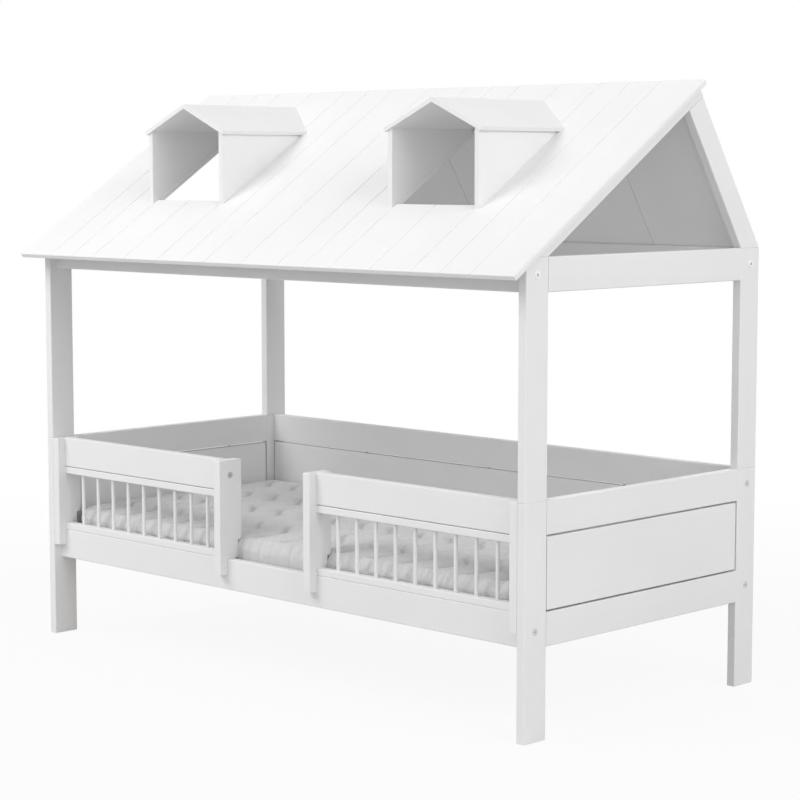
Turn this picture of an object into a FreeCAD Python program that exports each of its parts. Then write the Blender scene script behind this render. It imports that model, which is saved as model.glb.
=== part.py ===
import FreeCAD, Part
import math
import os
from types import SimpleNamespace

import Sketcher

# A child's house frame bed for a 900 x 2000 mattress, in millimetres.
#
# +Z is up, the bed's length runs along X, and the front, with the guards and the entry gap, faces -Y.
# The origin is on the floor, under the middle of the bounding box. Every piece is placed from the
# middle of the bed's posts, and place() moves it back by the amount that the eave reaches forward.
#
# The roof has its own frame: s runs up the front slope from the front rafters' feet, and n stands
# square to it, so the back slope, which meets the front slope at a right angle, runs along -n.

Vector = FreeCAD.Vector
X_AXIS, Y_AXIS, Z_AXIS = Vector(1, 0, 0), Vector(0, 1, 0), Vector(0, 0, 1)
SIDES = {"left": -1, "right": 1}
ENDS = {"front": -1, "back": 1}

SIZES = [
    # the mattress and the space it lies in
    ("mattress_long", 2000, "mattress, length"),
    ("mattress_wide", 900, "mattress, width"),
    ("mattress_deep", 118, "mattress, height of its top edge over its underside"),
    ("mattress_crown", 11, "mattress, rise of its middle over its top edge"),
    ("mattress_corner", 80, "mattress, radius of its corners seen from above"),
    ("mattress_least_corner", 20, "mattress, least radius of its corners, on its top"),
    ("mattress_draw", 4, "mattress, how far each side is drawn in between its corners"),
    ("end_gap", 7, "mattress to the end boards"),
    ("side_gap", 16, "slack between the side rails and the mattress"),
    ("soft_clear", 0.5, "mattress to whatever it lies against"),
    # boards and posts
    ("board_thick", 28, "thickness of boards, rails, beams and posts"),
    ("board_wide", 93.5, "width of rails, beams and top boards"),
    ("panel_wide", 197.5, "width of the centre panels"),
    ("panel_gap", 5, "gap around the centre panels"),
    ("panel_shift", 0.7, "end panels towards the front posts, as a share of their gap"),
    ("post_wide", 88, "width of the posts"),
    ("rail_set", 28, "side rails behind the posts' outer faces"),
    ("floor_clear", 252.5, "floor to the rails"),
    ("upper_high", 644, "length of the upper posts"),
    ("edge_round", 3, "radius of the long edges"),
    # bed base
    ("ledger_high", 20, "height of the ledgers"),
    ("ledger_deep", 28, "how far the ledgers stand in from the rails"),
    ("slat_wide", 70, "width of the slats"),
    ("slat_thick", 18, "thickness of the slats"),
    ("slat_clear", 2, "slat ends to the side rails"),
    ("slat_margin", 40, "end boards to the first slat"),
    # guards
    ("entry_gap", 364, "clear width between the guards"),
    ("guard_rail_high", 22, "height of the guards' narrow rails"),
    ("guard_slit", 1.5, "gap between a guard's top rail and sub-rail"),
    ("tongue_drop", 48, "how far the uprights hang in front of the side rail"),
    ("nose_rise", 54, "side rail to the underside of the uprights' nose"),
    ("nose_round", 0.625, "radius under the uprights' nose, as a share of the nose's reach"),
    ("upright_round", 6, "radius at the uprights' top back corner"),
    ("spindle_thick", 11, "diameter of the spindles"),
    ("spindle_seat", 12, "depth of a spindle in its rails"),
    # roof
    ("front_pitch", 33.1, "pitch of the front slope, in degrees"),
    ("roof_thick", 15, "thickness of the roof boards"),
    ("eave_over", 105, "front boards beyond the rafters' feet"),
    ("ridge_past", 5, "front boards beyond the back slope's face"),
    ("gable_over", 24, "front boards beyond the posts at each end"),
    ("foot_set", 20, "front rafters' feet behind the posts' outer faces"),
    ("wide_board", 158.5, "width of the wide front boards"),
    ("dormer_board", 155, "width of the board on a dormer's outer side"),
    ("narrow_board", 108, "width of the narrow front boards"),
    ("vee", 1.5, "half the width of the grooves between the roof boards"),
    ("vee_deep", 4, "depth of the grooves between the roof boards"),
    ("roof_end_round", 2.5, "radius of the front boards' lower ends"),
    ("batten_wide", 38, "width of the ridge batten"),
    # dormers
    ("dormer_set", 174, "dormers' fronts behind the posts' outer faces"),
    ("dormer_wide", 350, "width over a dormer's cheeks"),
    ("dormer_rise", 426.5, "posts' tops to the dormers' ridges"),
    ("dormer_pitch", 23.85, "pitch of the dormer roofs, in degrees"),
    ("dormer_thick", 12, "thickness of the dormer roofs"),
    ("cheek_thick", 16, "thickness of the cheeks"),
    ("dormer_side_over", 12.7, "dormer roofs beyond the cheeks"),
    ("dormer_front_over", 6, "dormer roofs in front of the cheeks"),
    ("sill_reach", 15, "front boards behind a dormer's front"),
    ("hole_long", 385, "opening under a dormer, up the slope"),
    # fasteners
    ("dowel_thick", 8, "diameter of the dowels"),
    ("dowel_long", 36, "length of the dowels"),
    ("dowel_clear", 0.1, "play round a dowel, spindle or barrel nut"),
    ("end_clear", 1, "play at the bottom of a blind hole"),
    ("dowel_pair", 25, "half the distance between two dowels in a board's end"),
    ("post_dowel_long", 60, "length of the dowels between the posts"),
    ("post_pair", 16, "half the distance between the dowels in a post"),
    ("rafter_dowel_rise", 14, "how far a dowel enters a rafter's foot"),
    ("end_panel_pair", 260, "dowels of the end panels, from the middle"),
    ("back_dowel_pitch", 564, "distance between the back panel's dowels"),
    ("back_dowel_shift", 15, "back panel's middle dowel from the middle"),
    ("guard_dowel_place", 620, "dowel over a guard's sub-rail, from the middle"),
    ("guard_dowel_inset", 22, "guard to post dowels behind the posts' outer faces"),
    ("guard_dowel_margin", 75, "guard to post dowels from the upright's top and seat"),
    ("bolt_thick", 6, "diameter of the bolts' shanks"),
    ("bolt_clear", 0.25, "play round a bolt's shank"),
    ("bolt_reach", 50, "how far a bolt enters a rail"),
    ("bolt_head", 19.5, "diameter of the bolt heads"),
    ("bolt_head_thick", 1, "thickness of the bolt heads"),
    ("socket_wide", 5, "diameter over the corners of the bolts' sockets"),
    ("socket_deep", 3, "depth of the bolts' sockets"),
    ("roof_bolt_head", 9, "diameter of the eave bolts' heads"),
    ("roof_bolt_head_thick", 3, "thickness of the eave bolts' heads"),
    ("collar_wide", 20, "diameter of the collars round the eave bolts"),
    ("collar_thick", 2.5, "thickness of the collars"),
    ("nut_thick", 10, "diameter of the barrel nuts"),
    ("nut_long", 19, "length of the barrel nuts"),
    ("nut_set", 38, "barrel nut to the rail's end"),
]
SPINDLES = 9
SLATS = 14
SOCKET_SIDES = 6

# The mattress's side, from its underside up: share of its depth, share of its crown, and how far
# in from its widest outline, in millimetres.
MATTRESS_LEVELS = [
    (0, 0, 12),
    (0.08, 0, 3),
    (0.25, 0, 0),
    (0.5, 0, 2),
    (0.75, 0, 0),
    (0.92, 0, 4),
    (1, 0, 14),
    (1, 0.5, 42),
    (1, 0.85, 110),
    (1, 1, 230),
]

STRAIGHT = 1 - 1e-9         # least cosine between an edge and the axis that it runs along
SAME_PLACE = 0.01           # mm, the most between an edge and the place where it is looked for
REACHED = 1                 # mm3, the least that a cut takes from a timber that it reaches
PAST = 1.1                  # a dormer's blank and its cutter reach past the roof by this ratio


class Size:
    """A length with its value and the expression that ties it to the sheet."""

    def __init__(self, text, value):
        self.text, self.value = text, float(value)

    @staticmethod
    def of(thing):
        return thing if isinstance(thing, Size) else Size(repr(thing), thing)

    def __add__(self, other):
        other = Size.of(other)
        return Size(f"({self.text} + {other.text})", self.value + other.value)

    def __sub__(self, other):
        other = Size.of(other)
        return Size(f"({self.text} - {other.text})", self.value - other.value)

    def __mul__(self, other):
        other = Size.of(other)
        return Size(f"({self.text} * {other.text})", self.value * other.value)

    def __truediv__(self, other):
        other = Size.of(other)
        return Size(f"({self.text} / {other.text})", self.value / other.value)

    def __rsub__(self, other):
        return Size.of(other) - self

    def __neg__(self):
        return self * -1

    __radd__, __rmul__ = __add__, __mul__


def turned(name, work, pitch):
    """A sine, cosine or tangent of a pitch in degrees."""
    return Size(f"{name}({pitch.text} * 1deg)", work(math.radians(pitch.value)))


# ---------------------------------------------------------------- the document and its sheet

doc = FreeCAD.newDocument("house_frame_bed")
sheet = doc.addObject("Spreadsheet::Sheet", "sizes")
for row, (alias, number, meaning) in enumerate(SIZES, start=1):
    sheet.set(f"A{row}", meaning)
    sheet.set(f"B{row}", str(number))
    sheet.setAlias(f"B{row}", alias)
doc.recompute()
s = SimpleNamespace(**{alias: Size(f"sizes.{alias}", sheet.get(alias)) for alias, _, _ in SIZES})

# ---------------------------------------------------------------- planes that pieces share

in_x = s.mattress_long / 2 + s.end_gap                  # inner faces of posts and end boards
out_x = in_x + s.board_thick
mid_x = in_x + s.board_thick / 2
in_y = (s.mattress_wide + s.side_gap) / 2               # inner faces of side rails
rail_y = in_y + s.board_thick / 2
rail_out_y = in_y + s.board_thick
out_y = rail_out_y + s.rail_set                         # outer faces of the posts
post_in_y = out_y - s.post_wide
post_mid_y = out_y - s.post_wide / 2

rail_top = s.floor_clear + s.board_wide
panel_low = rail_top + s.panel_gap
panel_top = panel_low + s.panel_wide
top_low = panel_top + s.panel_gap                       # underside of the top boards
low_top = top_low + s.board_wide                        # where the upper posts stand
post_top = low_top + s.upper_high
gable_low = post_top - s.board_wide
rail_mid_z = s.floor_clear + s.board_wide / 2
top_mid_z = top_low + s.board_wide / 2
gable_mid_z = gable_low + s.board_wide / 2

cos_p = turned("cos", math.cos, s.front_pitch)
sin_p = turned("sin", math.sin, s.front_pitch)
tan_p = turned("tan", math.tan, s.front_pitch)
foot_y = out_y - s.foot_set                             # front end of the rafters' feet
rafter_deep = (foot_y - post_in_y) * sin_p
ridge_s = (foot_y + out_y) * cos_p                      # the back slope's outer face
back_rafter_deep = s.post_wide * cos_p
eave_reach = foot_y + s.eave_over * cos_p + s.roof_thick * sin_p
middle_shift = (eave_reach - out_y) / 2
back_board_s = (foot_y + rail_y) * cos_p - s.roof_thick / 2     # inner face of the back boards
batten_s = back_board_s - s.batten_wide

boards_to_dormer = [s.wide_board, s.narrow_board, s.narrow_board, s.wide_board]
boards_past_dormer = [s.dormer_board, s.narrow_board, s.narrow_board]
front_joints = [Size.of(0)]                             # of the front boards, from the middle out
for board_size in boards_to_dormer + boards_past_dormer:
    front_joints.append(front_joints[-1] + board_size)
front_joints.append(out_x + s.gable_over)
dormer_x = front_joints[len(boards_to_dormer)]          # a dormer's middle
dormer_board_end = dormer_x + s.dormer_board
dormer_front_y = out_y - s.dormer_set
sill_s = (foot_y - dormer_front_y + s.sill_reach + s.roof_thick * sin_p) / cos_p

cos_q = turned("cos", math.cos, s.dormer_pitch)
sin_q = turned("sin", math.sin, s.dormer_pitch)
tan_q = turned("tan", math.tan, s.dormer_pitch)

holes = []                                              # cutters for every joint
nodes = []                                              # what is written out


# ---------------------------------------------------------------- ways of making a piece


def bind(thing, prop, size):
    """Tie a property to the sheet."""
    thing.setExpression(prop, Size.of(size).text)


def place(thing, x, y, z, axis=X_AXIS, turn=0):
    """Put a thing at a point measured from the middle of the posts, turned about one axis."""
    turn = Size.of(turn)
    thing.Placement = FreeCAD.Placement(Vector(), FreeCAD.Rotation(axis, turn.value))
    for letter, size in zip("xyz", (x, y + middle_shift, z)):
        bind(thing, f"Placement.Base.{letter}", size)
    if turn.text.startswith("sizes."):
        bind(thing, "Placement.Rotation.Angle", turn)


def node(thing, label):
    """Keep a thing as a sub-part under its own label."""
    thing.Label = label
    nodes.append(thing)
    return thing


def outline(sketch, corners):
    """Add a closed outline of straight lines whose corners are tied to the sheet."""
    points = [Vector(Size.of(u).value, Size.of(v).value, 0) for u, v in corners]
    count = len(points)
    first = sketch.GeometryCount
    for i in range(count):
        sketch.addGeometry(Part.LineSegment(points[i], points[(i + 1) % count]), False)
    for i in range(count):
        next_line = first + (i + 1) % count
        sketch.addConstraint(Sketcher.Constraint("Coincident", first + i, 2, next_line, 1))
    for i, corner in enumerate(corners, start=first):
        for size, kind, line in zip(corner, ("DistanceX", "DistanceY"), (-2, -1)):
            if Size.of(size).text == "0":
                sketch.addConstraint(Sketcher.Constraint("PointOnObject", i, 1, line))
            else:
                rule = Sketcher.Constraint(kind, -1, 1, i, 1, Size.of(size).value)
                bind(sketch, f"Constraints[{sketch.addConstraint(rule)}]", size)


def sketch_on(body, plane):
    """A new sketch on one of the body's own origin planes."""
    sketch = body.newObject("Sketcher::SketchObject", "Outline")
    origin_plane = next(f for f in body.Origin.OriginFeatures if f.Role == plane)
    sketch.AttachmentSupport = [(origin_plane, "")]
    sketch.MapMode = "FlatFace"
    return sketch


def prism(label, plane, corners, long):
    """A body padded from an outline, towards +X, +Y or +Z."""
    body = doc.addObject("PartDesign::Body", label)
    sketch = sketch_on(body, plane)
    outline(sketch, corners)
    pad = body.newObject("PartDesign::Pad", "Pad")
    pad.Profile = sketch
    pad.Reversed = plane == "XZ_Plane"
    bind(pad, "Length", long)
    return body


def runs_along(edge, axis):
    """Whether an edge is straight and runs along an axis."""
    if not isinstance(edge.Curve, Part.Line):
        return False
    return abs(edge.Curve.Direction.dot(axis)) > STRAIGHT


def lies_at(edge, height):
    """Whether an edge lies level at a height."""
    box = edge.BoundBox
    return max(abs(box.ZMin - height.value), abs(box.ZMax - height.value)) < SAME_PLACE


def ease(body, kind, size, wanted):
    """Round (Fillet) or bevel (Chamfer) the edges of the body that are wanted."""
    doc.recompute()
    base = body.Tip
    names = [f"Edge{i}" for i, edge in enumerate(base.Shape.Edges, start=1) if wanted(edge)]
    feature = body.newObject(f"PartDesign::{kind}", kind)
    feature.Base = (base, names)
    bind(feature, "Radius" if kind == "Fillet" else "Size", size)


def cut_through(body, sketch):
    """Cut a sketch's outlines right through the body, both ways."""
    doc.recompute()
    whole = body.Shape.Volume
    pocket = body.newObject("PartDesign::Pocket", "Pocket")
    pocket.Profile = sketch
    pocket.Type = "ThroughAll"
    pocket.Midplane = True
    doc.recompute()
    if whole - pocket.Shape.Volume < REACHED:
        raise RuntimeError(f"a cut took nothing off {body.Label}")


def rectangle(wide, high):
    return [(0, 0), (wide, 0), (wide, high), (0, high)]


def board(label, grain, low, size, round_top=False):
    """A straight board: its lowest corner, its size along X, Y and Z, and its grain's axis."""
    x, y, z = size
    plane, section, long = {
        "X": ("YZ_Plane", rectangle(y, z), x),
        "Y": ("XZ_Plane", rectangle(x, z), y),
        "Z": ("XY_Plane", rectangle(x, y), z),
    }[grain]
    axis = {"X": X_AXIS, "Y": Y_AXIS, "Z": Z_AXIS}[grain]
    body = prism(label, plane, section, long)

    def wanted(edge):
        return runs_along(edge, axis) or (round_top and lies_at(edge, z))

    ease(body, "Fillet", s.edge_round, wanted)
    place(body, *low)
    return node(body, label)


def low_end(side, near, far):
    """The lower coordinate of a piece that lies between near and far on one side of the middle."""
    return near if side > 0 else -far


def group(label, pieces):
    """Several alike pieces kept as separate solids in one node."""
    compound = doc.addObject("Part::Compound", label)
    compound.Links = pieces
    return node(compound, label)


def rod(name, axis, low, thick, long, tilt=0):
    """A round rod along an axis from its low end, or along n when it is tilted with the roof."""
    cylinder = doc.addObject("Part::Cylinder", name)
    bind(cylinder, "Radius", thick / 2)
    bind(cylinder, "Height", long)
    turn_axis, turn = {"X": (Y_AXIS, 90), "Y": (X_AXIS, -90), "Z": (X_AXIS, tilt)}[axis]
    place(cylinder, *low, turn_axis, turn)
    return cylinder


def stepped(axis, middle, distance):
    """A point moved along an axis."""
    x, y, z = middle
    return {"X": (x + distance, y, z), "Y": (x, y + distance, z), "Z": (x, y, z + distance)}[axis]


# ---------------------------------------------------------------- dowels and bolts

dowels = []


def dowel(axis, middle, long=None):
    """A dowel across a joint, and the hole that it needs in both pieces."""
    long = long or s.dowel_long
    hole_long = long + 2 * s.end_clear
    dowels.append(rod("Dowel", axis, stepped(axis, middle, -long / 2), s.dowel_thick, long))
    wide = s.dowel_thick + 2 * s.dowel_clear
    holes.append(rod("DowelHole", axis, stepped(axis, middle, -hole_long / 2), wide, hole_long))


def roof_point(along_s, along_n):
    """A point of the roof's frame, as y and z."""
    return (along_s * cos_p - along_n * sin_p - foot_y, along_s * sin_p + along_n * cos_p + post_top)


def ridge_dowel(x):
    """A dowel along n, from the back rafter into the front rafter."""
    middle_s = ridge_s - back_rafter_deep / 2
    for name, wide, long in (
        ("Dowel", s.dowel_thick, s.dowel_long),
        ("DowelHole", s.dowel_thick + 2 * s.dowel_clear, s.dowel_long + 2 * s.end_clear),
    ):
        low = (x, *roof_point(middle_s, -rafter_deep - long / 2))
        (dowels if name == "Dowel" else holes).append(rod(name, "Z", low, wide, long, s.front_pitch))


def make_dowels():
    """All dowels, with their holes."""
    for side in SIDES.values():
        for end in ENDS.values():
            for height in (rail_mid_z, top_mid_z, gable_mid_z):
                for pair in (-s.dowel_pair, s.dowel_pair):
                    dowel("Y", (side * mid_x, end * post_in_y, height + pair))
            for pair in (-s.post_pair, s.post_pair):
                dowel("Z", (side * mid_x, end * (post_mid_y + pair), low_top), s.post_dowel_long)
            for gap_low in (rail_top, panel_top):
                dowel("Z", (side * mid_x, end * s.end_panel_pair, gap_low + s.panel_gap / 2))
            rafter_dowel_z = post_top + s.rafter_dowel_rise - s.dowel_long / 2
            dowel("Z", (side * mid_x, end * in_y, rafter_dowel_z))
        ridge_dowel(side * mid_x)
        batten_y, batten_z = roof_point(batten_s + s.batten_wide / 2, -s.board_thick / 2)
        dowel("X", (side * in_x, batten_y, batten_z))
        make_guard_dowels(side)
    for step in (-1, 0, 1):
        for gap_low in (rail_top, panel_top):
            x = s.back_dowel_shift + step * s.back_dowel_pitch
            dowel("Z", (x, rail_y, gap_low + s.panel_gap / 2))


def make_guard_dowels(side):
    """The dowels of one guard, and those that hold it to its post."""
    for face in (guard_in_x, guard_out_x):
        for height in (rail_top + s.guard_rail_high / 2, sub_rail_top - s.guard_rail_high / 2):
            dowel("X", (side * face, -rail_y, height))
    for pair in (-s.dowel_pair, s.dowel_pair):
        dowel("X", (side * guard_out_x, -rail_y, top_mid_z + pair))
    for height in (rail_top + s.guard_dowel_margin, low_top - s.guard_dowel_margin):
        dowel("X", (side * in_x, s.guard_dowel_inset - out_y, height))
    dowel("Z", (side * s.guard_dowel_place, -rail_y, top_low - s.guard_slit / 2))


bolts, barrel_nuts, collars = [], [], []


def bolt(face_x, way, y, z, head_wide, head_thick):
    """A bolt that enters a face along X and pulls on a barrel nut in the rail behind it."""

    def along(name, start, thick, long):
        """A rod that starts so far behind the face and runs the bolt's way."""
        low_x = face_x + start if way > 0 else face_x - start - long
        return rod(name, "X", (low_x, y, z), thick, long)

    long = s.board_thick + s.bolt_reach
    blank = doc.addObject("Part::Fuse", "BoltBlank")
    blank.Base = along("Shank", Size.of(0), s.bolt_thick, long)
    blank.Tool = along("Head", -head_thick, head_wide, head_thick)
    socket = doc.addObject("Part::Prism", "Socket")
    socket.Polygon = SOCKET_SIDES
    bind(socket, "Circumradius", s.socket_wide / 2)
    bind(socket, "Height", s.socket_deep)
    socket_x = face_x - way * head_thick
    place(socket, socket_x if way > 0 else socket_x - s.socket_deep, y, z, Y_AXIS, 90)
    finished = doc.addObject("Part::Cut", "Bolt")
    finished.Base, finished.Tool = blank, socket
    bolts.append(finished)

    shank_hole = s.bolt_thick + 2 * s.bolt_clear
    holes.append(along("BoltHole", Size.of(0), shank_hole, long + s.end_clear))

    nut_x = face_x + way * (s.board_thick + s.nut_set)
    nut_face_y = y + s.board_thick / 2
    nut_low = (nut_x, nut_face_y - s.nut_long, z)
    nut_blank = rod("NutBlank", "Y", nut_low, s.nut_thick, s.nut_long)
    nut = doc.addObject("Part::Cut", "BarrelNut")
    nut.Base, nut.Tool = nut_blank, holes[-1]
    barrel_nuts.append(nut)
    nut_hole_low = (nut_x, nut_face_y - s.nut_long - s.end_clear, z)
    nut_hole = s.nut_thick + 2 * s.dowel_clear
    holes.append(rod("NutHole", "Y", nut_hole_low, nut_hole, s.nut_long + s.end_clear))


def eave_bolt(side, y):
    """A bolt with a small head, in the ring of a collar, that holds an eave beam."""
    bolt(side * out_x, -side, y, gable_mid_z, s.roof_bolt_head, s.roof_bolt_head_thick)
    low_x = low_end(side, out_x, out_x + s.collar_thick)
    ring = rod("CollarBlank", "X", (low_x, y, gable_mid_z), s.collar_wide, s.collar_thick)
    bore_wide = s.roof_bolt_head + 2 * s.dowel_clear
    collar = doc.addObject("Part::Cut", "Collar")
    collar.Base = ring
    collar.Tool = rod("CollarBore", "X", (low_x, y, gable_mid_z), bore_wide, s.collar_thick)
    collars.append(collar)


def make_bolts():
    """The bolts of the side rails, the back top board, the guards and the eave beams."""
    for side in SIDES.values():
        for y, z in ((-rail_y, rail_mid_z), (rail_y, rail_mid_z), (rail_y, top_mid_z)):
            bolt(side * out_x, -side, y, z, s.bolt_head, s.bolt_head_thick)
        for end in ENDS.values():
            eave_bolt(side, end * rail_y)
        face_x = side * s.entry_gap / 2
        bolt(face_x, side, -rail_y, top_mid_z, s.bolt_head, s.bolt_head_thick)


def drill(timber):
    """Cut every hole that reaches into a timber."""
    shape = timber.Shape
    reached = [
        hole
        for hole in holes
        if shape.BoundBox.intersect(hole.Shape.BoundBox)
        and shape.common(hole.Shape).Volume > REACHED
    ]
    if not reached:
        return timber
    label = timber.Label
    timber.Label = f"{label}_blank"
    cutters = doc.addObject("Part::Compound", f"{label}_holes")
    cutters.Links = reached
    drilled = doc.addObject("Part::Cut", label)
    drilled.Base, drilled.Tool, drilled.Label = timber, cutters, label
    drilled.Placement = FreeCAD.Placement()
    return drilled


# ---------------------------------------------------------------- posts, ends, back and front


def make_posts(side_name, side):
    """The two lower and two upper posts at one end of the bed."""
    x = low_end(side, in_x, out_x)
    for end_name, end in ENDS.items():
        y = low_end(end, post_in_y, out_y)
        foot = (s.board_thick, s.post_wide, low_top)
        label = f"lower_post_{end_name}_{side_name}"
        board(label, "Z", (x, y, Size.of(0)), foot, round_top=True)
    bevel_drop = s.foot_set * tan_p
    front_profile = [
        (0, 0),
        (s.post_wide, 0),
        (s.post_wide, s.upper_high),
        (s.foot_set, s.upper_high),
        (0, s.upper_high - bevel_drop),
    ]
    label = f"upper_post_front_{side_name}"
    post = prism(label, "YZ_Plane", front_profile, s.board_thick)

    def is_rounded(edge):
        at_bevel = edge.BoundBox.YMax < s.foot_set.value + SAME_PLACE
        return runs_along(edge, Z_AXIS) or (lies_at(edge, s.upper_high) and not at_bevel)

    ease(post, "Fillet", s.edge_round, is_rounded)
    place(post, x, -out_y, low_top)
    node(post, label)
    upper = (s.board_thick, s.post_wide, s.upper_high)
    label = f"upper_post_back_{side_name}"
    board(label, "Z", (x, post_in_y, low_top), upper, round_top=True)


def make_end(side_name, side):
    """The boards between the posts at one end: bottom board, centre panel, top board, gable rail."""
    x = low_end(side, in_x, out_x)
    panel_half = post_in_y - s.panel_gap
    for label, half, forward, low, high in (
        ("end_bottom_board", post_in_y, 0, s.floor_clear, s.board_wide),
        ("end_centre_panel", panel_half, s.panel_gap * s.panel_shift, panel_low, s.panel_wide),
        ("end_top_board", post_in_y, 0, top_low, s.board_wide),
        ("gable_rail", post_in_y, 0, gable_low, s.board_wide),
    ):
        size = (s.board_thick, 2 * half, high)
        board(f"{label}_{side_name}", "Y", (x, -half - forward, low), size)


def make_long_sides():
    """The back's three boards, the front side rail and the two eave beams."""
    for label, y, half, low, high in (
        ("back_side_rail", in_y, in_x, s.floor_clear, s.board_wide),
        ("back_centre_panel", in_y, in_x - s.panel_gap, panel_low, s.panel_wide),
        ("back_top_board", in_y, in_x, top_low, s.board_wide),
        ("front_side_rail", -rail_out_y, in_x, s.floor_clear, s.board_wide),
        ("eave_beam_back", in_y, in_x, gable_low, s.board_wide),
    ):
        board(label, "X", (-half, y, low), (2 * half, s.board_thick, high))

    # the front beam's top is bevelled to lie under the boards
    front_high = s.board_wide + (foot_y - rail_out_y) * tan_p
    back_high = s.board_wide + (foot_y - in_y) * tan_p
    profile = [(0, 0), (s.board_thick, 0), (s.board_thick, back_high), (0, front_high)]
    beam = prism("eave_beam_front", "YZ_Plane", profile, 2 * in_x)

    def is_lower(edge):
        return runs_along(edge, X_AXIS) and edge.BoundBox.ZMax < s.board_wide.value / 2

    ease(beam, "Fillet", s.edge_round, is_lower)
    place(beam, -in_x, -rail_out_y, gable_low)
    node(beam, "eave_beam_front")


# ---------------------------------------------------------------- guards

guard_in_x = s.entry_gap / 2 + s.board_thick            # outer faces of the inner uprights
guard_out_x = in_x - s.board_thick                      # inner faces of the outer uprights
sub_rail_top = top_low - s.guard_slit


def make_upright(label, low_x):
    """A guard's upright: it sits on the side rail and hangs a tongue in front of it."""
    seat = s.tongue_drop
    nose = seat + s.nose_rise
    notch = out_y - in_y + s.side_gap
    top = low_top - rail_top + s.tongue_drop
    profile = [
        (0, 0),
        (s.rail_set, 0),
        (s.rail_set, seat),
        (notch, seat),
        (notch, nose),
        (s.post_wide, nose),
        (s.post_wide, top),
        (0, top),
    ]
    upright = prism(label, "YZ_Plane", profile, s.board_thick)
    back_edge = s.post_wide.value

    def is_corner(height):
        def wanted(edge):
            box = edge.BoundBox
            at_corner = max(abs(box.YMin - back_edge), abs(box.ZMin - height.value)) < SAME_PLACE
            return runs_along(edge, X_AXIS) and at_corner

        return wanted

    def is_long(edge):
        box = edge.BoundBox
        at_face = min(abs(box.YMin), abs(box.YMin - back_edge)) < SAME_PLACE
        at_front_top = lies_at(edge, top) and box.YMax < SAME_PLACE
        return (runs_along(edge, Z_AXIS) and at_face) or at_front_top

    ease(upright, "Fillet", (s.post_wide - notch) * s.nose_round, is_corner(nose))
    ease(upright, "Fillet", s.upright_round, is_corner(top))
    ease(upright, "Fillet", s.edge_round, is_long)
    place(upright, low_x, -out_y, rail_top - s.tongue_drop)
    node(upright, label)


def make_guard(side_name, side):
    """One guard: two uprights, three rails and the spindles."""
    make_upright(f"guard_outer_upright_{side_name}", low_end(side, guard_out_x, in_x))
    make_upright(f"guard_inner_upright_{side_name}", low_end(side, s.entry_gap / 2, guard_in_x))
    rail_long = guard_out_x - guard_in_x
    rail_x = low_end(side, guard_in_x, guard_out_x)
    for label, low, high in (
        ("guard_top_rail", top_low, s.board_wide),
        ("guard_sub_rail", sub_rail_top - s.guard_rail_high, s.guard_rail_high),
        ("guard_bottom_rail", rail_top, s.guard_rail_high),
    ):
        size = (rail_long, s.board_thick, high)
        board(f"{label}_{side_name}", "X", (rail_x, -rail_out_y, low), size)

    spindle_low = rail_top + s.guard_rail_high - s.spindle_seat
    spindle_top = sub_rail_top - s.guard_rail_high + s.spindle_seat
    pitch = rail_long / (SPINDLES + 1)
    hole_wide = s.spindle_thick + 2 * s.dowel_clear
    spindles = []
    for count in range(1, SPINDLES + 1):
        x = side * (guard_in_x + count * pitch)
        low = (x, -rail_y, spindle_low)
        spindles.append(rod("Spindle", "Z", low, s.spindle_thick, spindle_top - spindle_low))
        hole_low = (x, -rail_y, spindle_low - s.end_clear)
        hole_long = spindle_top - spindle_low + 2 * s.end_clear
        holes.append(rod("SpindleHole", "Z", hole_low, hole_wide, hole_long))
    group(f"guard_spindles_{side_name}", spindles)


# ---------------------------------------------------------------- bed base and mattress


def make_base():
    """Two ledgers on the side rails, and the slats that lie on them."""
    ledgers = []
    for end in ENDS.values():
        ledger = doc.addObject("Part::Box", "Ledger")
        bind(ledger, "Length", 2 * in_x)
        bind(ledger, "Width", s.ledger_deep)
        bind(ledger, "Height", s.ledger_high)
        place(ledger, -in_x, low_end(end, in_y - s.ledger_deep, in_y), s.floor_clear)
        ledgers.append(ledger)
    group("slat_ledgers", ledgers)

    half_y = in_y - s.slat_clear
    step = (2 * (in_x - s.slat_margin) - s.slat_wide) / (SLATS - 1)
    slats = []
    for count in range(SLATS):
        slat = doc.addObject("Part::Box", "Slat")
        bind(slat, "Length", s.slat_wide)
        bind(slat, "Width", 2 * half_y)
        bind(slat, "Height", s.slat_thick)
        place(slat, s.slat_margin - in_x + count * step, -half_y, s.floor_clear + s.ledger_high)
        slats.append(slat)
    group("slats", slats)


def mattress_level(half_x, half_y, corner, draw, height):
    """The mattress's outline at one height: four drawn-in sides and four rounded corners."""
    edges = []
    turns = ((1, 1), (-1, 1), (-1, -1), (1, -1))
    centres = [Vector(sx * (half_x - corner), sy * (half_y - corner), height) for sx, sy in turns]
    for i, (sx, sy) in enumerate(turns):
        outward_x, outward_y = Vector(sx, 0, 0) * corner, Vector(0, sy, 0) * corner
        first, last = (outward_x, outward_y) if i % 2 == 0 else (outward_y, outward_x)
        diagonal = Vector(sx, sy, 0) * (corner / math.sqrt(2))
        start, end = centres[i] + first, centres[i] + last
        edges.append(Part.Arc(start, centres[i] + diagonal, end).toShape())
        side_start = end
        side_end = centres[(i + 1) % 4] + last
        inward = last * (-1 / corner) * draw
        middle = (side_start + side_end) / 2 + inward
        edges.append(Part.Arc(side_start, middle, side_end).toShape())
    return Part.Wire(edges)


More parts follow.
